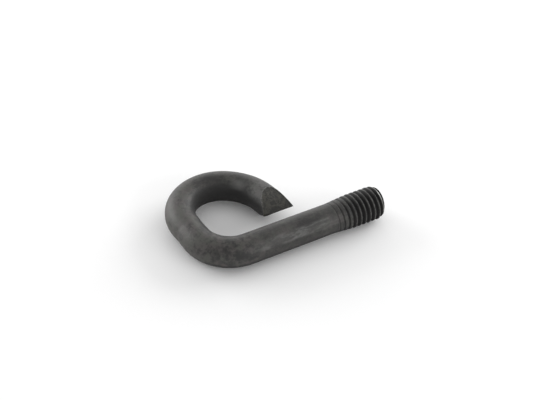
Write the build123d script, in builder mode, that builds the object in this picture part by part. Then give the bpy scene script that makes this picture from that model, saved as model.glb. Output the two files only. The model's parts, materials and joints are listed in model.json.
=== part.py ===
"""A screw hook bent from one round steel bar.

The bar has a thread rolled on one end, a plain shank, a corner bend and an open eye whose tip
was pinched off to a wedge. The hook lies flat: the origin is on the shank's axis where the full
thread begins, +X points out of the threaded end, +Y points to the side of the eye and +Z is up,
square to the plane of the bends.
"""

import os
from math import radians, tan

from build123d import *

# Lengths are in millimetres and angles in degrees.

# The round bar
bar_diameter = 7.2

# The thread, whose turns are drawn as rings of the same pitch
thread_diameter = 8.0
thread_length = 7.35
thread_pitch = 1.25
groove_depth = 0.75
crest_width = 0.2
groove_overrun_share = 0.1
run_out_length = 5.6
grooved_run_out_share = 0.2
end_chamfer_length = 1.0
end_chamfer_depth = 0.6

# The shank and the bends, in their order along the bar from the thread to the tip
shank_length = 21.4
bend_inside_radius = 5.05
bend_angle = 87.3
side_length = 5.7
eye_inside_radius = 5.75
eye_angle = 116.3
crown_inside_radius = 8.75
crown_angle = 55.4

# The tip: its edge lies along the shank, and its two bevels rise from that edge
mouth_gap = 4.2
bevel_angle = 37.0
pinch_overrun_share = 0.75

# Sizes that follow from those above
bar_radius = bar_diameter / 2
thread_radius = thread_diameter / 2
root_radius = thread_radius - groove_depth
groove_half_width = (thread_pitch - crest_width) / 2
groove_top = groove_depth * (1 + groove_overrun_share)
groove_top_half_width = groove_half_width * (1 + groove_overrun_share)
last_groove = thread_length - end_chamfer_length - (crest_width + thread_pitch) / 2
grooved_length = last_groove + grooved_run_out_share * run_out_length
groove_count = 1 + int(grooved_length / thread_pitch)
square_turn = 270
tip_skew = square_turn - bend_angle - eye_angle - crown_angle
tip_height = bar_radius + mouth_gap
pinch_overrun = pinch_overrun_share * mouth_gap
bevel_rise = bar_radius + pinch_overrun
bevel_run = bevel_rise / tan(radians(bevel_angle))

with BuildPart() as screw_hook:
    # The bar follows straight runs and tangent arcs that all turn the same way
    with BuildLine() as bar_line:
        shank = Line((-run_out_length, 0), (-run_out_length - shank_length, 0))
        bend = JernArc(shank @ 1, shank % 1, bend_inside_radius + bar_radius, -bend_angle)
        side = PolarLine(bend @ 1, side_length, direction=bend % 1)
        eye = JernArc(side @ 1, side % 1, eye_inside_radius + bar_radius, -eye_angle)
        crown = JernArc(eye @ 1, eye % 1, crown_inside_radius + bar_radius, -crown_angle)
        # The tail runs down to the height of the tip's edge, and past it for the pinch to trim
        tail_length = (tip_height - (crown @ 1).Y) / (crown % 1).Y
        tip = crown @ 1 + (crown % 1) * tail_length
        tail_overrun = bar_diameter * tan(radians(abs(tip_skew)))
        tail = PolarLine(crown @ 1, tail_length + tail_overrun, direction=crown % 1)
    with BuildSketch(Plane(shank @ 0, z_dir=shank % 0)):
        Circle(bar_radius)
    sweep()

    # The threaded end is wider than the bar, and tapers to it where the thread runs out
    with BuildSketch():
        with BuildLine():
            Polyline(
                (-run_out_length, 0),
                (-run_out_length, bar_radius),
                (0, thread_radius),
                (thread_length - end_chamfer_length, thread_radius),
                (thread_length, thread_radius - end_chamfer_depth),
                (thread_length, 0),
                close=True,
            )
        make_face()
    revolve(axis=Axis.X)

    # The grooves are full along the thread, and rise with the run-out where they go on into it
    with BuildSketch():
        for groove in range(groove_count):
            middle = last_groove - groove * thread_pitch
            fade_share = max(-middle / run_out_length, 0)
            bottom = root_radius + (bar_radius - root_radius) * fade_share
            with Locations((middle, bottom)):
                Polygon(
                    (0, 0),
                    (groove_top_half_width, groove_top),
                    (-groove_top_half_width, groove_top),
                    align=None,
                )
    revolve(axis=Axis.X, mode=Mode.SUBTRACT)

    # The pinch cuts away the end of the tail and leaves a wedge with two bevels
    with BuildSketch(Plane.YZ.offset(tip.X)):
        with BuildLine():
            Polyline(
                (tip.Y, 0),
                (tip.Y + bevel_run, bevel_rise),
                (tip.Y - pinch_overrun, bevel_rise),
                (tip.Y - pinch_overrun, -bevel_rise),
                (tip.Y + bevel_run, -bevel_rise),
                close=True,
            )
        make_face()
    extrude(amount=bar_diameter, both=True, mode=Mode.SUBTRACT)

screw_hook.part.label = "screw_hook"

os.makedirs("parts", exist_ok=True)
export_step(screw_hook.part, "parts/screw_hook.step")
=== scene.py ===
"""Draws a screw hook: one blackened steel bar with a rolled thread, an open eye and a pinched tip."""

import json
import math

import bmesh
import bpy
from bpy.props import FloatProperty, FloatVectorProperty, IntProperty, PointerProperty
from mathutils import Matrix, Vector, noise


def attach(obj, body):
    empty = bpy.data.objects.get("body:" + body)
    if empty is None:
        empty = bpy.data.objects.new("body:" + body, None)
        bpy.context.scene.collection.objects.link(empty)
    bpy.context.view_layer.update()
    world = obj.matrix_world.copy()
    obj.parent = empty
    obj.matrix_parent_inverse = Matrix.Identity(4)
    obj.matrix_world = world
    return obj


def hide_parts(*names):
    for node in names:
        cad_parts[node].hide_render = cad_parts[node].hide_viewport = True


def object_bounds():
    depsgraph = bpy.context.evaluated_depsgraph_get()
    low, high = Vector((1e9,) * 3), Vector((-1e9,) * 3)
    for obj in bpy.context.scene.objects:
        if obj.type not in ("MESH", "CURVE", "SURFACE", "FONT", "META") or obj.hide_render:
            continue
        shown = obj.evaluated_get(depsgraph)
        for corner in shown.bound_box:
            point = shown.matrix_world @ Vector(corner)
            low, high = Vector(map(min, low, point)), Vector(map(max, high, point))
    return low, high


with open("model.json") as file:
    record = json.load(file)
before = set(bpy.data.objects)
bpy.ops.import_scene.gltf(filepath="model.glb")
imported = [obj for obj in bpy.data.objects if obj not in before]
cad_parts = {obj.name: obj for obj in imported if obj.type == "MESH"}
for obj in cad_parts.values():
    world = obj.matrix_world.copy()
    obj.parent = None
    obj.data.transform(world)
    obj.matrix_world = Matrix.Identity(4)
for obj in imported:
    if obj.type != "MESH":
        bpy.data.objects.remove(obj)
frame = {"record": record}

bl_info = {
    "name": "Screw hook",
    "version": (1, 0, 0),
    "blender": (4, 5, 0),
    "location": "View3D > Sidebar > Screw hook",
    "description": "Models a blackened steel screw hook with a rolled thread and an open eye",
    "category": "Object",
}

# Lengths are in metres, and this is a millimetre
MM = 0.001

# What the imported part gives: its box, its thread, and the name of its node
NODE = "screw_hook"
CAD_BOX = [list(corner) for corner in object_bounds()]
THREAD = next(mount for mount in frame["record"]["mounts"] if mount["name"] == "thread")
THREAD_RADIUS = THREAD["dims"]["r_mm"] * MM
FULL_THREAD = THREAD["dims"]["length_mm"] * MM
FLOOR_HEIGHT = CAD_BOX[0][2]

# The name of the visual piece
PIECE = "blackened_screw_hook"

# How far the crests and the threaded end stay inside the part's box
CREST_CLEARANCE = 0.01 * MM
END_CLEARANCE = 0.005 * MM
THREAD_END = CAD_BOX[1][0] - END_CLEARANCE

# Directions in the part's frame: the shank lies along X and the hook lies flat
ALONG = Vector((1, 0, 0))
ACROSS = Vector((0, 1, 0))
UP = Vector((0, 0, 1))
FULL_TURN = 2 * math.pi

# Marks of the faces that aren't part of the bar's round skin, whose mark is 0: a mark is a material slot
BEVEL = 1
END_FACE = 2

# Points closer together than this are joined
WELD = 0.001 * MM

# The groove: the slope of its walls, how its depth grows along its fade, and how far before the end of
# the thread it is drawn back in full
WALL_SLOPE = math.radians(59)
FADE_POWER = 1.5
SQUEEZE_MARGIN = 0.2 * MM

# Points of the thread's profile, as shares of the way from the middle of the groove to the middle of the
# crest: they are closest in the root and at the corner
HALF_PROFILE = (0, 0.05, 0.11, 0.17, 0.24, 0.38, 0.52, 0.66, 0.75, 0.80, 0.84, 0.88, 0.93, 1)

# Turns that are wound past the ends of the thread and cut off
SPARE_TURNS = 3

# Near the threaded end, only the thread itself lies this close to the shank's axis
THREAD_REACH = 5 * MM

# The least depth that a groove is measured against, and what the end face counts as, which is neither a
# rubbed crest nor a dark groove
SHALLOW_GROOVE = 0.05 * MM
END_FACE_HOLLOW = 0.12

# Squares that the flat faces are sliced into, and how far from the middle the slices go
SLICE_STEP = 0.3 * MM
SLICE_REACH = 6 * MM

# Steps in the rounding of the tip's edge
RIDGE_SEGMENTS = 5

# Sizes of the swells, ripples and pits of the surface, and their depths on each kind of face
WAVE_SIZES = (5 * MM, 1.3 * MM, 0.6 * MM)
SKIN_WAVES = (0.06 * MM, 0.02 * MM, 0.0)
BEVEL_WAVES = (0.0, 0.13 * MM, 0.09 * MM)
END_WAVES = (0.06 * MM, 0.04 * MM, 0.02 * MM)
END_DISH = 0.12 * MM

# The skin's waves grow along the run-out, and those of the bevels with the distance from the tip's edge
WAVY_RUN_OUT = (-0.5, 0.1)
WAVY_BEVEL = (0.1 * MM, 0.9 * MM)

# What the bending die left on the straight side: a neck on its inside and a kink on its outside, at these
# shares of its length
NECK_SHARE = 0.45
NECK_DEPTH = 0.15 * MM
NECK_WIDTH = 2.4 * MM
KINK_SHARE = 0.53
KINK_DEPTH = 0.16 * MM
KINK_WIDTH = 0.8 * MM

# What the pinch left on the tip: the spread inner end of its edge, and the rounding of that end and of the
# edge below it, which grows downwards between two heights
SPREAD = 0.66 * MM
SPREAD_WIDTH = 1.5 * MM
CORNER_RADIUS = 0.9 * MM
CORNER_TOP = 1.0 * MM
CORNER_FULL = -0.2 * MM

# Patches of the black skin and of the torn steel: their sizes, and the scales that draw some of them out
# along the bar
CLOUD_SIZE = 3.6 * MM
TINT_SIZE = 1.9 * MM
PATCH_SIZE = 1.8 * MM
MOTTLE_SIZE = 1.2 * MM
RUB_SIZE = 0.9 * MM
STREAK_SIZE = 0.6 * MM
SPECK_SIZE = 0.4 * MM
GRAIN_SIZE = 0.22 * MM
TORN_LUMP_SIZE = 0.9 * MM
TORN_GRAIN_SIZE = 0.25 * MM
CLOUD_SCALE = (0.6, 1, 1)
RUB_SCALE = (0.34, 1, 1)
STREAK_SCALE = (0.22, 1, 1)

# How far the small bumps of the two finishes stand out
SKIN_RELIEF = 0.08 * MM
TORN_RELIEF = 0.16 * MM

# Where the skin, its painted shade and its painted highlights change along the bar, from and to these
# distances past the start of one of its stretches
BENT_RISE = (-4 * MM, 2 * MM)
GRIP_RISE = (-12 * MM, 0)
EYE_FALL = (6 * MM, 14 * MM)
CROWN_EASE = (-3 * MM, 3 * MM)
FRONT_BAND_RISE = (-2 * MM, 3 * MM)
FRONT_BAND_FALL = (16 * MM, 23 * MM)
CROWN_HIGHLIGHT_RISE = (2.1 * MM, 6.1 * MM)
CROWN_HIGHLIGHT_FALL = (6.1 * MM, 9.1 * MM)
PULL_RISE = (-5 * MM, -0.5 * MM)
LAST_TURN_WIDTH = 0.8 * MM

# How far the front band with its scuffs and the painted highlight on the crown lie round the bar, up from
# its outside
FRONT_BAND_LEAN = math.radians(35)
CROWN_HIGHLIGHT_LEAN = math.radians(129)

# Strength of the torn steel's reflections, which are duller than the skin's
TORN_GLOSS = 0.38

# The width, the height and the place of each lit screen
SCREENS = {
    "back_screen": (0.9, 0.5, Vector((0.36, 0.87, 0.22))),
    "left_screen": (0.75, 0.5, Vector((-0.50, 0.82, 0.26))),
    "right_screen": (0.8, 0.5, Vector((0.88, 0.12, 0.36))),
    "front_screen": (0.45, 0.22, Vector((0.30, -0.67, 0.33))),
}

# The floor's dullness, the width of the camera's film in millimetres, and the nearest that it sees
FLOOR_ROUGHNESS = 0.8
FILM_WIDTH = 36
NEAREST_VIEW = 0.01


def length(name, default, description):
    """A length property whose default is in metres."""
    return FloatProperty(name=name, description=description, default=default, unit="LENGTH", precision=5)


def angle(name, degrees, description):
    """An angle property whose default is given in degrees."""
    return FloatProperty(name=name, description=description, default=math.radians(degrees), unit="ROTATION")


def share(name, default, description):
    """A property from 0 to 1."""
    return FloatProperty(name=name, description=description, default=default, min=0, max=1, subtype="FACTOR")


def glow(name, default, description):
    """A brightness property."""
    return FloatProperty(name=name, description=description, default=default, min=0)


def colour(name, default, description):
    """A colour property."""
    return FloatVectorProperty(name=name, description=description, default=default, size=3, min=0, max=1,
                               subtype="COLOR")


def place(name, default, description):
    """A place property, in metres."""
    return FloatVectorProperty(name=name, description=description, default=default, size=3,
                               subtype="TRANSLATION")


class HookSizes(bpy.types.PropertyGroup):
    """Sizes of the bar, its thread, its bends and its tip."""

    bar_diameter: length("Bar diameter", 7.2 * MM, "Thickness of the round bar")
    thread_radius: length("Thread radius", THREAD_RADIUS - CREST_CLEARANCE, "Radius over the crests")
    thread_pitch: length("Thread pitch", 1.25 * MM, "Distance from one crest to the next")
    thread_depth: length("Thread depth", 0.76 * MM, "Depth of the full groove below the crests")
    groove_start: length("Groove start", 0.61 * MM, "Where the groove crosses the side of the eye")
    root_radius: length("Root radius", 0.14 * MM, "Rounding at the bottom of the groove")
    crest_rounding: length("Crest rounding", 0.05 * MM, "Rounding of the crests")
    run_out_length: length("Run-out length", 5.6 * MM, "Stretch in which the thread tapers to the bar")
    groove_lead: length("Groove lead", 0.9 * MM, "How far the groove's faint start reaches past the run-out")
    groove_fade: length("Groove fade", 6.0 * MM, "Stretch in which the groove reaches its full depth")
    end_chamfer_length: length("End chamfer length", 1.3 * MM, "How far back the end's bevel reaches")
    end_chamfer_depth: length("End chamfer depth", 0.6 * MM, "How far the threaded end is bevelled inwards")
    end_squeeze: length("End squeeze", 0.18 * MM, "How far the last groove is drawn back and deepened")
    shank_length: length("Shank length", 21.4 * MM, "Plain shank from the thread to the corner bend")
    bend_inside_radius: length("Bend radius", 5.05 * MM, "Inside radius of the corner bend")
    bend_angle: angle("Bend angle", 87.3, "Turn of the corner bend")
    side_length: length("Side length", 5.7 * MM, "Straight run between the corner bend and the eye")
    eye_inside_radius: length("Eye radius", 5.75 * MM, "Inside radius of the eye")
    eye_angle: angle("Eye angle", 116.3, "Turn of the eye")
    crown_inside_radius: length("Crown radius", 8.75 * MM, "Inside radius of the eye's wider end")
    crown_angle: angle("Crown angle", 55.4, "Turn of the eye's wider end")
    mouth_gap: length("Mouth gap", 4.2 * MM, "Gap between the tip's edge and the shank")
    bevel_angle: angle("Bevel angle", 32.2, "Angle between the tip's bevels and the plane of the hook")
    bevel_twist: FloatProperty(name="Bevel twist", description="How much steeper the bevels are per metre "
                               "towards the inside of the eye", default=96.5)
    ridge_rounding: length("Ridge rounding", 0.22 * MM, "Width that is rounded off the tip's edge")
    ring_step: length("Ring step", 0.35 * MM, "Distance between the rings of the bar's mesh")
    ring_points: IntProperty(name="Ring points", description="Points around the bar", default=96, min=24)


class HookFinish(bpy.types.PropertyGroup):
    """Colours of the blackened steel, how far it is rubbed, and how strong its painted highlights are."""

    # The skin's dark end, which the painted shade inside the eye and underneath also draws towards
    dark_scale_and_shade: colour("Dark scale", (0.0125, 0.0120, 0.0115), "Dense patches of the black skin")
    pale_scale: colour("Pale scale", (0.053, 0.054, 0.046), "Thin, dusty patches of the black skin")
    brown_scale: colour("Brown scale", (0.058, 0.051, 0.049), "Patches of the skin with a brown tint")
    # Also the colour of the painted highlights on the front of the shank and on the crown
    bare_steel_and_highlight: colour("Bare steel", (0.16, 0.16, 0.155), "Steel that shows where the skin is rubbed off")
    # The colour that the grooves are darkened to, more towards their bottoms
    groove_dark: colour("Groove dirt", (0.006, 0.006, 0.006), "Dark residue in the thread's grooves")
    pinched_dark: colour("Pinched dark", (0.0095, 0.009, 0.007), "Hollows of the torn steel")
    pinched_steel: colour("Pinched steel", (0.037, 0.035, 0.028), "Torn steel on the tip's bevels")
    # The pale band that this sets along the front of the shank is a painted highlight
    front_highlight: share("Front wear", 0.08, "Rubbing all along the front of the shank")
    scuff_wear: share("Scuff wear", 0.44, "Rubbing in the scuffs on the front of the shank")
    # This sets a painted highlight: a pale spot on the inner side of the crown
    crown_highlight_strength: share("Smudge wear", 0.36, "Rubbing of the spot on the inner side of the crown")
    pull_wear: share("Pull wear", 0.30, "Rubbing of the patch on top of the tail")
    crest_wear: share("Crest wear", 0.32, "Rubbing of the thread's crests")
    last_turn_wear: share("Last turn wear", 0.6, "Further rubbing of the thread's last crest")
    lip_wear: share("Lip wear", 0.6, "Rubbing of the skin at the tip's sharp edges")
    torn_lip_wear: share("Torn lip wear", 0.8, "Rubbing of the torn steel at the tip's sharp edges")


class StageSettings(bpy.types.PropertyGroup):
    """The floor, the lights and the camera."""

    floor_colour: colour("Floor colour", (0.95, 0.95, 0.95), "Colour of the floor")
    floor_size: length("Floor size", 4.0, "Width of the floor")
    sky_strength: glow("Sky strength", 0.64, "Brightness of the studio all round")
    back_glow: glow("Back glow", 1.6, "Brightness of the screen behind")
    left_glow: glow("Left glow", 4.8, "Brightness of the screen on the left")
    right_glow: glow("Right glow", 4.6, "Brightness of the screen on the right")
    front_glow: glow("Front glow", 4.2, "Brightness of the screen in front")
    view_turn: angle("View turn", -28.88, "How far the camera stands round from the shank's side")
    view_height: angle("View height", 40.0, "How far the camera looks down")
    view_distance: length("View distance", 257.1 * MM, "Distance from the camera to the point it looks at")
    view_lens: FloatProperty(name="Lens", description="Focal length of the camera", default=73.96,
                             subtype="DISTANCE_CAMERA")
    view_target: place("View target", (-15.24 * MM, 12.84 * MM, 0.0), "Point that the camera looks at")


class Stretch:
    """A straight run or an arc of the bar's centre line, which turns clockwise seen from above."""

    def __init__(self, start, heading, run, radius=0.0, turn=0.0):
        self.start = start
        self.heading = heading
        self.radius = radius
        self.turn = turn
        self.run = radius * turn if turn else run
        self.centre = start - radius * outer_side(heading)
        self.end, self.end_heading = self.place(self.run)

    def place(self, along):
        """The point at a distance along the stretch, and the heading there."""
        if not self.turn:
            return self.start + along * direction(self.heading), self.heading
        heading = self.heading - along / self.radius
        return self.centre + self.radius * outer_side(heading), heading

    def nearest(self, point):
        """How far along the stretch a point lies, from 0 to the stretch's length."""
        if not self.turn:
            along = (point - self.start).dot(direction(self.heading))
        else:
            arm = point - self.centre
            swept = math.atan2(arm.dot(direction(self.heading)), arm.dot(outer_side(self.heading)))
            along = swept * self.radius
        return min(max(along, 0.0), self.run)


def direction(heading):
    """The level direction of a heading, which is measured anticlockwise from X."""
    return Vector((math.cos(heading), math.sin(heading), 0))


def outer_side(heading):
    """The level direction to the outside of the bends."""
    return Vector((-math.sin(heading), math.cos(heading), 0))


def bar_line(sizes):
    """The stretches of the bar's centre line, from the thread's run-out to the tip's edge."""
    radius = sizes.bar_diameter / 2
    plan = {
        "shank": (sizes.shank_length, 0.0, 0.0),
        "bend": (0.0, sizes.bend_inside_radius + radius, sizes.bend_angle),
        "side": (sizes.side_length, 0.0, 0.0),
        "eye": (0.0, sizes.eye_inside_radius + radius, sizes.eye_angle),
        "crown": (0.0, sizes.crown_inside_radius + radius, sizes.crown_angle),
    }
    line = {}
    point = Vector((-sizes.run_out_length, 0, 0))
    heading = math.pi
    for name, (run, bend_radius, turn) in plan.items():
        line[name] = Stretch(point, heading, run, bend_radius, turn)
        point, heading = line[name].end, line[name].end_heading
    drop = radius + sizes.mouth_gap - point.y
    line["tail"] = Stretch(point, heading, drop / math.sin(heading))
    return line


def starts_along(line):
    """How far along the bar each of its stretches starts."""
    starts = {}
    before = 0.0
    for name, stretch in line.items():
        starts[name] = before
        before += stretch.run
    return starts


def soft_min(first, second, blend):
    """The lesser of two values, with the corner between them rounded."""
    gap = max(blend - abs(first - second), 0.0) / blend
    return min(first, second) - gap * gap * blend / 4


def fade(value, start, end):
    """A smooth rise from 0 at the start to 1 at the end."""
    part = min(max((value - start) / (end - start), 0.0), 1.0)
    return part * part * (3 - 2 * part)


def bump(distance, width):
    """A smooth hump, 1 at no distance and nearly 0 at twice its width."""
    return math.exp(-(distance / width) ** 2)


def only(kind, geometry):
    """The items of one kind in what a mesh operator takes or returns."""
    return [item for item in geometry if isinstance(item, kind)]


def newer(mesh, old_faces):
    """The faces of a mesh that aren't among the old ones."""
    return [face for face in mesh.faces if face not in old_faces]


def corners(faces):
    """The points of some faces, each of them once."""
    return list(dict.fromkeys(point for face in faces for point in face.verts))


def with_rims(faces):
    """Faces together with their points and edges, each of them once."""
    return faces + list(dict.fromkeys(item for face in faces for item in (*face.verts, *face.edges)))


def cut(mesh, geometry, point, normal):
    """Cuts geometry by a plane, drops what the normal points to and returns the edges of the cut."""
    result = bmesh.ops.bisect_plane(
        mesh, geom=geometry, dist=WELD, plane_co=point, plane_no=normal, clear_outer=True
    )
    return only(bmesh.types.BMEdge, result["geom_cut"])


def groove_height(offset, sizes):
    """Height of the groove's wall above its bottom, at a distance to either side of its middle."""
    round_half = sizes.root_radius * math.sin(WALL_SLOPE)
    if abs(offset) < round_half:
        return sizes.root_radius - math.sqrt(sizes.root_radius ** 2 - offset ** 2)
    round_top = sizes.root_radius * (1 - math.cos(WALL_SLOPE))
    return round_top + (abs(offset) - round_half) * math.tan(WALL_SLOPE)


def crest_radius_at(along, sizes):
    """Radius over the crests at a place along the shank, with the run-out and the bevelled end."""
    bar_radius = sizes.bar_diameter / 2
    widened = min(max(along / sizes.run_out_length + 1, 0.0), 1.0)
    bevel_slope = sizes.end_chamfer_depth / sizes.end_chamfer_length
    bevelled = max(along - THREAD_END + sizes.end_chamfer_length, 0.0) * bevel_slope
    return bar_radius + (sizes.thread_radius - bar_radius) * widened - bevelled


def groove_depth_at(along, sizes):
    """Depth of the groove below the crests at a place along the shank."""
    deepened = min(max((along + sizes.run_out_length + sizes.groove_lead) / sizes.groove_fade, 0.0), 1.0)
    deepest = crest_radius_at(along, sizes) - (sizes.thread_radius - sizes.thread_depth)
    return min(sizes.thread_depth * deepened ** FADE_POWER, deepest + end_squeeze_at(along, sizes))


def end_squeeze_at(along, sizes):
    """How far the groove is drawn back and deepened near the end, where the rolls let go of it."""
    return sizes.end_squeeze * fade(along, FULL_THREAD, THREAD_END - SQUEEZE_MARGIN)


def thread_radius_at(along, around, sizes):
    """Radius of the threaded end at a place along the shank and a turn around it."""
    drawn_out = along + end_squeeze_at(along, sizes)
    turns = (drawn_out - sizes.groove_start) / sizes.thread_pitch - around / FULL_TURN
    offset = (turns - round(turns)) * sizes.thread_pitch
    crest = crest_radius_at(along, sizes)
    depth = groove_depth_at(along, sizes)
    wall = crest - depth + groove_height(offset, sizes)
    return soft_min(crest, wall, min(sizes.crest_rounding, max(depth, WELD)))


def add_thread(mesh, sizes):
    """The threaded end, wound up from one pitch of its profile. Returns the edges of its open end."""
    pitch = sizes.thread_pitch
    half_offsets = [pitch / 2 * part for part in HALF_PROFILE]
    offsets = [-offset for offset in half_offsets[:0:-1]] + half_offsets
    open_end = sizes.run_out_length + sizes.groove_lead
    turns = math.ceil((THREAD_END + open_end) / pitch) + SPARE_TURNS
    first = sizes.groove_start - math.ceil((open_end + sizes.groove_start) / pitch + 1) * pitch
    points = [mesh.verts.new((first + offset, sizes.thread_radius, 0)) for offset in offsets]
    profile = points + [mesh.edges.new(pair) for pair in zip(points, points[1:])]
    old_faces = set(mesh.faces)
    bmesh.ops.spin(
        mesh, geom=profile, cent=(0, 0, 0), axis=ALONG, dvec=ALONG * pitch / sizes.ring_points,
        angle=FULL_TURN, steps=sizes.ring_points, use_merge=False,
    )
    one_turn = newer(mesh, old_faces)
    for turn in range(1, turns):
        copy = bmesh.ops.duplicate(mesh, geom=one_turn)["geom"]
        bmesh.ops.translate(mesh, verts=only(bmesh.types.BMVert, copy), vec=ALONG * pitch * turn)
    bmesh.ops.remove_doubles(mesh, verts=corners(newer(mesh, old_faces)), dist=WELD)
    for point in corners(newer(mesh, old_faces)):
        around = math.atan2(point.co.z, point.co.y)
        radius = thread_radius_at(point.co.x, around, sizes)
        point.co = (point.co.x, radius * math.cos(around), radius * math.sin(around))
    end_edges = cut(mesh, with_rims(newer(mesh, old_faces)), ALONG * THREAD_END, ALONG)
    open_edges = cut(mesh, with_rims(newer(mesh, old_faces)), -ALONG * open_end, -ALONG)
    for face in bmesh.ops.contextual_create(mesh, geom=end_edges)["faces"]:
        face.material_index = END_FACE
    slice_up(mesh, END_FACE, ALONG * THREAD_END, (ACROSS, UP))
    return open_edges


def slice_up(mesh, mark, middle, normals):
    """Slices the faces of a mark into small squares, so that they can be made uneven."""
    count = round(SLICE_REACH / SLICE_STEP)
    for normal in normals:
        for slot in range(-count, count + 1):
            faces = [face for face in mesh.faces if face.material_index == mark]
            bmesh.ops.bisect_plane(
                mesh, geom=with_rims(faces), dist=WELD, plane_co=middle + normal * (slot + 0.5) * SLICE_STEP,
                plane_no=normal,
            )


def sweep(mesh, ring, stretch, sizes):
    """Carries a ring of edges along a stretch of the bar and returns the ring at its end."""
    steps = max(2, round(stretch.run / sizes.ring_step))
    slide = Vector() if stretch.turn else (stretch.end - stretch.start) / steps
    return bmesh.ops.spin(
        mesh, geom=ring, cent=stretch.centre, axis=-UP, dvec=slide, angle=stretch.turn, steps=steps,
        use_merge=False,
    )["geom_last"]


def add_bar(mesh, line, sizes):
    """The plain bar from the run-out to the tail. Returns the edges of its first ring and its last ring."""
    shank = line["shank"]
    start = shank.start - ALONG * (sizes.groove_lead + sizes.ring_step)
    turn_upright = Matrix.Rotation(math.pi / 2, 4, "Y")
    circle = bmesh.ops.create_circle(
        mesh, cap_ends=False, radius=sizes.bar_diameter / 2, segments=sizes.ring_points,
        matrix=Matrix.Translation(start) @ turn_upright,
    )["verts"]
    first_edges = list(dict.fromkeys(edge for point in circle for edge in point.link_edges))
    run = (shank.end - start).length
    ring = sweep(mesh, circle + first_edges, Stretch(start, shank.heading, run), sizes)
    for name in ("bend", "side", "eye", "crown"):
        ring = sweep(mesh, ring, line[name], sizes)
    return first_edges, ring


def add_tip(mesh, ring, line, sizes):
    """The straight tail and the two bevels that the pinch left."""
    tail = line["tail"]
    old_faces = set(mesh.faces)
    sweep(mesh, ring, Stretch(tail.start, tail.heading, tail.run + sizes.bar_diameter / 2), sizes)
    rise = math.tan(sizes.bevel_angle)
    # The bevels are flat while the tail is stretched one way, and twisted once it is let go
    stretch_tail(mesh, old_faces, tail.end, sizes, 1)
    for side in (1, -1):
        tilted = Vector((0, -rise, side)).normalized()
        edges = cut(mesh, with_rims(newer(mesh, old_faces)), tail.end, tilted)
        for face in bmesh.ops.contextual_create(mesh, geom=edges)["faces"]:
            face.material_index = BEVEL
    slice_up(mesh, BEVEL, tail.end, (ALONG, UP))
    stretch_tail(mesh, old_faces, tail.end, sizes, -1)
    ridge = [edge for edge in only(bmesh.types.BMEdge, with_rims(newer(mesh, old_faces)))
             if {face.material_index for face in edge.link_faces} == {BEVEL}
             and edge.calc_face_angle() > sizes.bevel_angle]
    bmesh.ops.bevel(
        mesh, geom=ridge, offset=sizes.ridge_rounding, segments=RIDGE_SEGMENTS, profile=0.5, affect="EDGES",
        material=-1, clamp_overlap=True,
    )


def stretch_tail(mesh, old_faces, end, sizes, power):
    """Stretches the tail away from its edge, more on the inside of the eye than on the outside, or back."""
    for point in corners(newer(mesh, old_faces)):
        point.co.y = end.y + (point.co.y - end.y) * twist_at(point.co.x, end, sizes) ** power


def twist_at(across, end, sizes):
    """How much steeper the bevels are at a place across the tail than in its middle."""
    return 1 - sizes.bevel_twist * (across - end.x)


def straight_places(mesh, line):
    """Each point's place on the bar before it was bent: along, to the outer side, and up."""
    places = []
    starts = starts_along(line)
    shank_start = line["shank"].start
    for point in mesh.verts:
        flat = Vector((point.co.x, point.co.y, 0))
        if flat.x > shank_start.x and abs(flat.y) < THREAD_REACH:
            places.append(Vector((shank_start.x - flat.x, -flat.y, point.co.z)))
            continue
        best = None
        for name, stretch in line.items():
            along = stretch.nearest(flat)
            centre, heading = stretch.place(along)
            arm = flat - centre
            if best is None or arm.length < best:
                best = arm.length
                where = Vector((starts[name] + along, arm.dot(outer_side(heading)), point.co.z))
        places.append(where)
    return places


def thread_hollows(mesh, sizes):
    """How deep in the thread's groove each point lies.

    It is 0 on the crests and off the thread, and 1 at the bottom of the groove. The end face has no groove,
    and a value of its own.
    """
    hollows = []
    for point in mesh.verts:
        before_thread = point.co.x <= -sizes.run_out_length - sizes.groove_lead
        if before_thread or abs(point.co.y) >= THREAD_REACH:
            hollows.append(0.0)
        elif {face.material_index for face in point.link_faces} == {END_FACE}:
            hollows.append(END_FACE_HOLLOW)
        else:
            below = crest_radius_at(point.co.x, sizes) - math.hypot(point.co.y, point.co.z)
            hollows.append(max(below, 0.0) / max(groove_depth_at(point.co.x, sizes), SHALLOW_GROOVE))
    return hollows


def waves(where, depths):
    """How far the surface sinks at a place on the bar, by the depths of its swells, ripples and pits."""
    return sum(depth * (0.5 + 0.5 * noise.noise(where / size)) for depth, size in zip(depths, WAVE_SIZES))


def unevenness(point, where, sizes):
    """How far a point sinks below the smooth shape, by the kind of face that it lies in."""
    along, outer, up = where
    marks = {face.material_index for face in point.link_faces}
    if marks == {BEVEL}:
        return waves(where, BEVEL_WAVES) * fade(abs(up), *WAVY_BEVEL)
    if marks == {END_FACE}:
        dish = 1 - (outer ** 2 + up ** 2) / sizes.thread_radius ** 2
        return waves(where, END_WAVES) + END_DISH * dish
    calm, wavy = WAVY_RUN_OUT
    return waves(where, SKIN_WAVES) * fade(along, calm * sizes.run_out_length, wavy * sizes.run_out_length)


def round_off(first, second, radius):
    """How far a point moves away from each of two faces as their corner is rounded.

    The first and the second number are the point's distances to the two faces.
    """
    first_gap, second_gap = radius - first, radius - second
    if min(first_gap, second_gap) <= 0:
        return 0.0, 0.0
    pull = 1 - max(first_gap, second_gap) / math.hypot(first_gap, second_gap)
    return first_gap * pull, second_gap * pull


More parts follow.
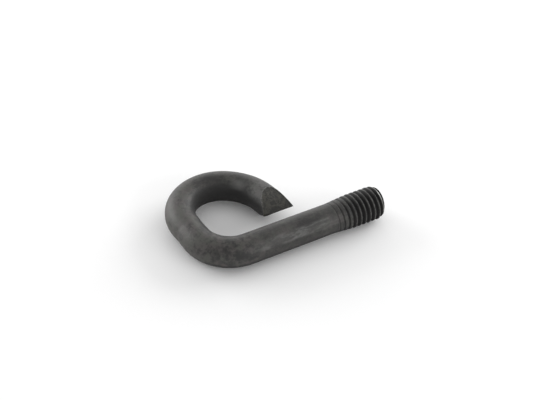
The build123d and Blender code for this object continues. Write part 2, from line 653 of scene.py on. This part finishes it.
def weather(mesh, places, line, sizes):
    """Makes the bar slightly uneven, and sets in the marks that the bending and the pinch left."""
    mesh.normal_update()
    bar_radius = sizes.bar_diameter / 2
    starts = starts_along(line)
    neck = starts["side"] + NECK_SHARE * line["side"].run
    kink = starts["side"] + KINK_SHARE * line["side"].run
    tail = line["tail"]
    tail_down = direction(tail.heading)
    inward = -outer_side(tail.heading)
    ridge_end = tail.end + ALONG * bar_radius / inward.x
    moves = []
    for point, where in zip(mesh.verts, places):
        along, outer, up = where
        sink = unevenness(point, where, sizes)
        # The bending die left a shallow neck on the inside of the straight side, and a kink on its outside
        facing_out = math.cos(math.atan2(up, outer))
        sink += NECK_DEPTH * bump(along - neck, NECK_WIDTH) * max(-facing_out, 0.0)
        sink += KINK_DEPTH * math.exp(-abs(along - kink) / KINK_WIDTH) * max(facing_out, 0.0)
        # The pinch spread the inner end of the tip's edge, and rounded it and the edge below it
        move = SPREAD * bump((point.co - ridge_end).length, SPREAD_WIDTH) * inward
        radius = CORNER_RADIUS * fade(-up, -CORNER_TOP, -CORNER_FULL) * fade(-outer, 0.0, bar_radius / 2)
        if radius > 0 and along > starts["crown"]:
            in_skin = math.sqrt(max(bar_radius ** 2 - up ** 2, 0.0)) + outer
            steepness = math.tan(sizes.bevel_angle) * twist_at(point.co.x, tail.end, sizes)
            in_bevel = point.co.y - tail.end.y - abs(up) / steepness
            from_skin, from_bevel = round_off(in_skin, in_bevel, radius)
            move += tail_down / tail_down.y * from_bevel - ALONG / inward.x * from_skin
        moves.append(move - point.normal * sink)
    for point, move in zip(mesh.verts, moves):
        point.co += move


class Field:
    """A value that varies over a surface, so that shader maths reads as an expression."""

    def __init__(self, finish, socket):
        self.finish = finish
        self.socket = socket

    def maths(self, operation, first, second):
        """A field worked out from two values, of which at least one is a field."""
        made = self.finish.node("ShaderNodeMath", {"operation": operation}, {0: first, 1: second})
        return Field(self.finish, made.outputs[0])

    def __add__(self, other):
        return self.maths("ADD", self, other)

    def __radd__(self, other):
        return self.maths("ADD", other, self)

    def __sub__(self, other):
        return self.maths("SUBTRACT", self, other)

    def __rsub__(self, other):
        return self.maths("SUBTRACT", other, self)

    def __mul__(self, other):
        return self.maths("MULTIPLY", self, other)

    def __rmul__(self, other):
        return self.maths("MULTIPLY", other, self)


class Finish:
    """A material that is put together node by node."""

    def __init__(self, name):
        self.material = bpy.data.materials.new(name)
        self.material.use_nodes = True
        self.tree = self.material.node_tree
        self.shader = self.tree.nodes["Principled BSDF"]

    def feed(self, node, key, value):
        """Links a field to a node's socket, or sets the socket's value."""
        if isinstance(value, Field):
            self.tree.links.new(value.socket, node.inputs[key])
        else:
            node.inputs[key].default_value = value

    def node(self, kind, settings, sockets):
        """Adds a node with its settings, and with values or links for its sockets."""
        made = self.tree.nodes.new(kind)
        for name, value in settings.items():
            setattr(made, name, value)
        for key, value in sockets.items():
            self.feed(made, key, value)
        return made

    def object_place(self):
        """The place on the object, in metres."""
        return Field(self, self.node("ShaderNodeTexCoord", {}, {}).outputs["Object"])

    def straight_place(self):
        """The place on the bar as it was before it was bent, in metres."""
        made = self.node("ShaderNodeAttribute", {"attribute_name": "straight_bar"}, {})
        return Field(self, made.outputs["Vector"])

    def point_value(self, name):
        """A value that the mesh keeps for each of its points."""
        made = self.node("ShaderNodeAttribute", {"attribute_name": name}, {})
        return Field(self, made.outputs["Fac"])

    def stretched(self, where, scale):
        """A place scaled by a different amount along each axis."""
        made = self.node("ShaderNodeVectorMath", {"operation": "MULTIPLY"}, {0: where, 1: scale})
        return Field(self, made.outputs[0])

    def speckle(self, where, size, detail, roughness=0.5):
        """Soft random patches of a size, from 0 to 1."""
        made = self.node("ShaderNodeTexNoise", {}, {
            "Vector": where, "Scale": 1 / size, "Detail": detail, "Roughness": roughness,
        })
        return Field(self, made.outputs["Fac"])

    def rise(self, value, start, end):
        """A smooth rise from 0 to 1 between two values."""
        made = self.node("ShaderNodeMapRange", {"interpolation_type": "SMOOTHSTEP"}, {
            "Value": value, "From Min": start, "From Max": end,
        })
        return Field(self, made.outputs["Result"])

    def blend(self, factor, first, second):
        """Goes from the first colour to the second."""
        made = self.node("ShaderNodeMix", {"data_type": "RGBA"}, {
            "Factor": factor, 6: opaque(first), 7: opaque(second),
        })
        return Field(self, made.outputs[2])

    def parts(self, where):
        """The three parts of a place."""
        made = self.node("ShaderNodeSeparateXYZ", {}, {0: where})
        return [Field(self, output) for output in made.outputs]

    def relief(self, height, distance):
        """Bumps of a height up to the distance."""
        made = self.node("ShaderNodeBump", {}, {"Height": height, "Distance": distance})
        return Field(self, made.outputs["Normal"])

    def finish(self, **sockets):
        """Feeds the shader, whose socket names are written with underscores, and returns the material."""
        for name, value in sockets.items():
            self.feed(self.shader, name.replace("_", " "), value)
        return self.material


def opaque(tone):
    """A colour with full alpha, or a field as it is."""
    return tone if isinstance(tone, Field) else (*tone, 1)


def blackened_steel(colours, sizes, line):
    """Steel with a thin black skin: cloudy, rubbed on the thread's crests and dark in its grooves, with
    painted shade inside the eye and underneath and painted highlights on the shank's front and on the crown.
    """
    skin = Finish("blackened_steel")
    radius = sizes.bar_diameter / 2
    starts = starts_along(line)
    spot = skin.object_place()
    bar = skin.straight_place()
    along, outer, up = skin.parts(bar)

    def past(stretch, start, end):
        """Rises along the bar, between two distances past the start of one of its stretches."""
        return skin.rise(along, starts[stretch] + start, starts[stretch] + end)

    def facing(lean):
        """How far a place lies to one side of the bar, which leans up from its outside."""
        return outer * math.cos(lean) + up * math.sin(lean)

    clouds = skin.speckle(skin.stretched(bar, CLOUD_SCALE), CLOUD_SIZE, 3)
    streaks = skin.speckle(skin.stretched(bar, STREAK_SCALE), STREAK_SIZE, 4, 0.6)
    tints = skin.speckle(bar, TINT_SIZE, 3)
    patches = skin.speckle(spot, PATCH_SIZE, 2)
    mottle = skin.speckle(spot, MOTTLE_SIZE, 4, 0.75)
    specks = skin.speckle(spot, SPECK_SIZE, 2)
    grain = skin.speckle(spot, GRAIN_SIZE, 3)

    # The skin is thin and dusty where the bar was gripped for the bends; inside the eye and on the underside
    # it is painted darker, as painted shade
    up_to_eye = 1 - past("eye", *EYE_FALL)
    gripped = past("side", *GRIP_RISE) * up_to_eye * skin.rise(outer, -0.75 * radius, 0.35 * radius)
    bent = past("bend", *BENT_RISE) * up_to_eye
    # Painted shade inside the eye
    inside = skin.rise(0 - outer, 0.60 * radius, 0.90 * radius)
    inside = inside * skin.rise(along, starts["bend"], starts["side"])
    inside = inside * (1 - 0.5 * past("crown", *CROWN_EASE))
    # Painted shade on the underside
    under = skin.rise(0 - up, 0.15 * radius, 0.55 * radius)
    tone = 0.38 * clouds + 0.38 * mottle + 0.14 * streaks + 0.10 * specks
    tone = tone + 0.14 * gripped + bent * (0.40 * mottle + 0.50 * patches - 0.45)
    tone = tone - 0.36 * inside - 0.20 * under
    pale = skin.blend(skin.rise(tints, 0.35, 0.65), colours.pale_scale, colours.brown_scale)
    skin_colour = skin.blend(skin.rise(tone, 0.38, 0.66), colours.dark_scale_and_shade, pale)

    # A painted highlight: a pale band painted along the front of the shank, with real soft scuffs in it
    front = skin.rise(facing(FRONT_BAND_LEAN), 0.91 * radius, 0.99 * radius)
    front = front * past("shank", *FRONT_BAND_RISE) * (1 - past("shank", *FRONT_BAND_FALL))
    rubs = skin.speckle(skin.stretched(bar, RUB_SCALE), RUB_SIZE, 3, 0.6)
    scuffs = front * skin.rise(rubs, 0.44, 0.74)
    # Mixes the painted highlight of the band with the real scuffs
    rubbed = front * colours.front_highlight + scuffs * colours.scuff_wear
    skin_colour = skin.blend(rubbed, skin_colour, colours.bare_steel_and_highlight)

    # A painted highlight: a pale spot painted on the inner side of the crown
    crown_highlight = skin.rise(facing(CROWN_HIGHLIGHT_LEAN), 0.90 * radius, radius)
    crown_highlight = crown_highlight * past("crown", *CROWN_HIGHLIGHT_RISE) * (1 - past("crown", *CROWN_HIGHLIGHT_FALL))
    skin_colour = skin.blend(crown_highlight * colours.crown_highlight_strength, skin_colour, colours.bare_steel_and_highlight)

    # A pale patch on top of the tail, where the pinch pulled at the skin
    pulled = past("tail", *PULL_RISE) * skin.rise(up - 0.5 * outer, 0.75 * radius, 1.05 * radius)
    pulled = pulled * skin.rise(mottle, 0.30, 0.55)
    skin_colour = skin.blend(pulled * colours.pull_wear, skin_colour, colours.bare_steel_and_highlight)

    # Dark grooves and rubbed crests, of which the last is bright
    on_thread = 1 - skin.rise(along, -1.3 * sizes.run_out_length, -0.3 * sizes.run_out_length)
    last_crest = -sizes.run_out_length - FULL_THREAD
    last_turn = 1 - skin.rise(along, last_crest, last_crest + LAST_TURN_WIDTH)
    hollow = skin.point_value("hollow")
    crest = (1 - skin.rise(hollow, 0.03, 0.13)) * on_thread
    groove = skin.rise(hollow, 0.07, 0.32) * (0.4 + 0.6 * on_thread)
    skin_colour = skin.blend(groove * (0.74 + 0.4 * mottle), skin_colour, colours.groove_dark)
    worn = colours.crest_wear * skin.rise(mottle, 0.38, 0.66) + colours.last_turn_wear * last_turn
    skin_colour = skin.blend(crest * worn, skin_colour, colours.bare_steel_and_highlight)
    shine = crest * last_turn * skin.rise(mottle, 0.25, 0.50)

    # The lip that the pinch raised
    lip = skin.rise(skin.point_value("lip"), 0.3, 0.9) * skin.rise(mottle, 0.40, 0.60)
    skin_colour = skin.blend(lip * colours.lip_wear, skin_colour, colours.bare_steel_and_highlight)

    rough = 0.36 + 0.14 * clouds + 0.20 * mottle - 0.06 * scuffs - 0.20 * shine + 0.20 * inside
    rough = rough + 0.25 * groove + 0.20 * under
    height = 0.5 * grain + 0.5 * mottle + 0.3 * streaks
    return skin.finish(Base_Color=skin_colour, Roughness=rough, Metallic=shine,
                       Normal=skin.relief(height, SKIN_RELIEF))


def pinched_steel(colours):
    """The torn, dull steel of the tip's bevels, with a brighter edge."""
    torn = Finish("pinched_steel")
    spot = torn.object_place()
    lumps = torn.speckle(spot, TORN_LUMP_SIZE, 4, 0.6)
    grain = torn.speckle(spot, TORN_GRAIN_SIZE, 3)
    raised = torn.rise(0.7 * lumps + 0.3 * grain, 0.41, 0.59)
    tone = torn.blend(raised, colours.pinched_dark, colours.pinched_steel)
    lip = torn.rise(torn.point_value("lip"), 0.2, 0.8) * torn.rise(lumps, 0.48, 0.58)
    tone = torn.blend(lip * colours.torn_lip_wear, tone, colours.bare_steel_and_highlight)
    height = 0.6 * lumps + 0.4 * grain
    return torn.finish(Base_Color=tone, Roughness=0.52 + 0.20 * lumps, Specular_IOR_Level=TORN_GLOSS,
                       Normal=torn.relief(height, TORN_RELIEF))


def plain(name, tone, roughness):
    """A material of one colour, for the floor alone."""
    return Finish(name).finish(Base_Color=opaque(tone), Roughness=roughness)


def keep_values(data, name, values):
    """Keeps a number for each point of a mesh, for its materials to read."""
    kept = data.attributes.new(name, "FLOAT", "POINT")
    for item, value in zip(kept.data, values):
        item.value = value


def keep_places(data, name, places):
    """Keeps a place for each point of a mesh, for its materials to read."""
    kept = data.attributes.new(name, "FLOAT_VECTOR", "POINT")
    for item, where in zip(kept.data, places):
        item.vector = where


class HOOK_OT_add_hook(bpy.types.Operator):
    """Models the bent bar with its thread and its pinched tip, in place of the plain solid"""

    bl_idname = "screw_hook.add_hook"
    bl_label = "Add screw hook"

    def execute(self, context):
        sizes = context.scene.hook_sizes
        colours = context.scene.hook_finish
        line = bar_line(sizes)
        mesh = bmesh.new()
        first_edges, ring = add_bar(mesh, line, sizes)
        add_tip(mesh, ring, line, sizes)
        thread_edges = add_thread(mesh, sizes)
        bmesh.ops.bridge_loops(mesh, edges=first_edges + thread_edges)
        bmesh.ops.recalc_face_normals(mesh, faces=mesh.faces[:])
        for face in mesh.faces:
            face.smooth = True
        for edge in mesh.edges:
            edge.smooth = len({face.material_index for face in edge.link_faces}) == 1
        lips = [any(not edge.smooth for edge in point.link_edges) for point in mesh.verts]
        places = straight_places(mesh, line)
        hollows = thread_hollows(mesh, sizes)
        weather(mesh, places, line, sizes)
        data = bpy.data.meshes.new(PIECE)
        mesh.to_mesh(data)
        mesh.free()
        keep_places(data, "straight_bar", places)
        keep_values(data, "lip", lips)
        keep_values(data, "hollow", hollows)
        skin = blackened_steel(colours, sizes, line)
        for finish in (skin, pinched_steel(colours), skin):
            data.materials.append(finish)
        hook = bpy.data.objects.new(PIECE, data)
        context.scene.collection.objects.link(hook)
        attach(hook, "root")
        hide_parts(NODE)
        return {"FINISHED"}


class HOOK_OT_add_stage(bpy.types.Operator):
    """Adds the pale floor, the soft lights and the camera"""

    bl_idname = "screw_hook.add_stage"
    bl_label = "Add stage"

    def execute(self, context):
        stage = context.scene.hook_stage
        mesh = bmesh.new()
        bmesh.ops.create_grid(
            mesh, x_segments=1, y_segments=1, size=stage.floor_size / 2,
            matrix=Matrix.Translation((0, 0, FLOOR_HEIGHT)),
        )
        data = bpy.data.meshes.new("floor")
        mesh.to_mesh(data)
        mesh.free()
        data.materials.append(plain("floor_paint", stage.floor_colour, FLOOR_ROUGHNESS))
        floor = bpy.data.objects.new("floor", data)
        context.scene.collection.objects.link(floor)
        glows = {
            "back_screen": stage.back_glow,
            "left_screen": stage.left_glow,
            "right_screen": stage.right_glow,
            "front_screen": stage.front_glow,
        }
        for name, brightness in glows.items():
            add_screen(context, name, brightness, Vector(stage.view_target))
        world = bpy.data.worlds.new("studio")
        world.use_nodes = True
        sky = world.node_tree.nodes["Background"]
        sky.inputs["Color"].default_value = (1, 1, 1, 1)
        sky.inputs["Strength"].default_value = stage.sky_strength
        context.scene.world = world
        add_camera(context, stage)
        context.scene.view_settings.view_transform = "Standard"
        return {"FINISHED"}


def add_screen(context, name, brightness, target):
    """A lit screen that faces the target. Its power follows from its brightness and its area."""
    width, height, where = SCREENS[name]
    data = bpy.data.lights.new(name, "AREA")
    data.shape = "RECTANGLE"
    data.size = width
    data.size_y = height
    data.energy = brightness * math.pi * width * height
    lamp = bpy.data.objects.new(name, data)
    lamp.location = where
    lamp.rotation_euler = (target - where).to_track_quat("-Z", "Y").to_euler()
    context.scene.collection.objects.link(lamp)


def add_camera(context, stage):
    """The camera, looking down on the hook from beside its corner bend."""
    data = bpy.data.cameras.new("camera")
    data.lens = stage.view_lens
    data.sensor_width = FILM_WIDTH
    data.sensor_fit = "HORIZONTAL"
    data.clip_start = NEAREST_VIEW
    level = math.cos(stage.view_height)
    back = Vector((
        math.sin(stage.view_turn) * level, -math.cos(stage.view_turn) * level, math.sin(stage.view_height)
    ))
    camera = bpy.data.objects.new("camera", data)
    camera.location = Vector(stage.view_target) + back * stage.view_distance
    camera.rotation_euler = back.to_track_quat("Z", "Y").to_euler()
    context.scene.collection.objects.link(camera)
    context.scene.camera = camera


class HOOK_PT_panel(bpy.types.Panel):
    """Lists the hook's and the stage's settings and operators"""

    bl_label = "Screw hook"
    bl_space_type = "VIEW_3D"
    bl_region_type = "UI"
    bl_category = "Screw hook"

    def draw(self, context):
        scene = context.scene
        for settings in (scene.hook_sizes, scene.hook_finish, scene.hook_stage):
            box = self.layout.box()
            for name in type(settings).__annotations__:
                box.prop(settings, name)
        self.layout.operator(HOOK_OT_add_hook.bl_idname)
        self.layout.operator(HOOK_OT_add_stage.bl_idname)


CLASSES = (HookSizes, HookFinish, StageSettings, HOOK_OT_add_hook, HOOK_OT_add_stage, HOOK_PT_panel)


def register():
    """Registers the classes, and gives the scene its settings."""
    for item in CLASSES:
        bpy.utils.register_class(item)
    bpy.types.Scene.hook_sizes = PointerProperty(type=HookSizes)
    bpy.types.Scene.hook_finish = PointerProperty(type=HookFinish)
    bpy.types.Scene.hook_stage = PointerProperty(type=StageSettings)


def unregister():
    """Takes back what register did."""
    del bpy.types.Scene.hook_stage
    del bpy.types.Scene.hook_finish
    del bpy.types.Scene.hook_sizes
    for item in reversed(CLASSES):
        bpy.utils.unregister_class(item)


def main():
    """Adds the hook and the stage."""
    register()
    bpy.ops.screw_hook.add_hook()
    bpy.ops.screw_hook.add_stage()


if __name__ == "__main__":
    main()
